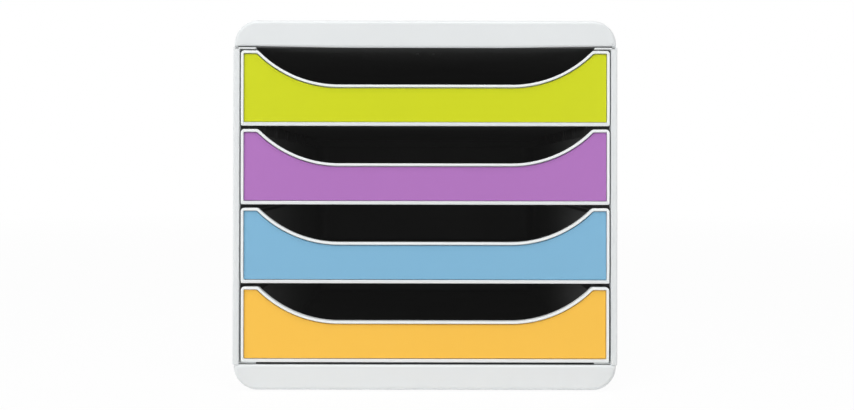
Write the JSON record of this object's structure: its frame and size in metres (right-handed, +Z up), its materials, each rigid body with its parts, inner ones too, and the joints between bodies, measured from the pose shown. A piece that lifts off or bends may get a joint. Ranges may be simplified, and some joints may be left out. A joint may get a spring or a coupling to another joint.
{
  "type": "plastic drawer tower",
  "caption": "Desktop drawer tower: pale moulded case with rounded covers, black sliding trays and coloured fronts with wide finger scoops.",
  "frame": {"origin": "under the middle of the feet, on the surface the tower stands on", "axes": "+Z up, -Y towards the drawer fronts, +X to the right seen from the front"},
  "size_m": [0.278, 0.347, 0.2684],
  "materials": {
    "shell": "moulded polystyrene, fine matt texture",
    "inner": "moulded polystyrene, glossy black",
    "tray": "moulded polystyrene, glossy black",
    "frame": "moulded polystyrene, satin",
    "lime": "moulded polystyrene, satin",
    "purple": "moulded polystyrene, satin",
    "blue": "moulded polystyrene, satin",
    "orange": "moulded polystyrene, satin",
    "foot": "soft, matt"
  },
  "bodies": {
    "case": {"top_cover": "shell", "base_cover": "shell", "side_panel_left": "shell", "side_panel_right": "shell", "runner_frame_left": "inner", "runner_frame_right": "inner", "top_deck": "inner", "bottom_deck": "inner", "back_panel": "inner", "foot_front_left": "foot", "foot_front_right": "foot", "foot_rear_left": "foot", "foot_rear_right": "foot"},
    "drawer_1": {"tray_1": "tray", "front_frame_1": "frame", "colour_panel_1": "lime"},
    "drawer_2": {"tray_2": "tray", "front_frame_2": "frame", "colour_panel_2": "purple"},
    "drawer_3": {"tray_3": "tray", "front_frame_3": "frame", "colour_panel_3": "blue"},
    "drawer_4": {"tray_4": "tray", "front_frame_4": "frame", "colour_panel_4": "orange"}
  },
  "joints": [
    {"name": "drawer_1_slide", "type": "slide", "parent": "case", "child": "drawer_1", "axis": [0, -1, 0], "range_m": [0, 0.2499]},
    {"name": "drawer_2_slide", "type": "slide", "parent": "case", "child": "drawer_2", "axis": [0, -1, 0], "range_m": [0, 0.2499]},
    {"name": "drawer_3_slide", "type": "slide", "parent": "case", "child": "drawer_3", "axis": [0, -1, 0], "range_m": [0, 0.2499]},
    {"name": "drawer_4_slide", "type": "slide", "parent": "case", "child": "drawer_4", "axis": [0, -1, 0], "range_m": [0, 0.2499]}
  ]
}
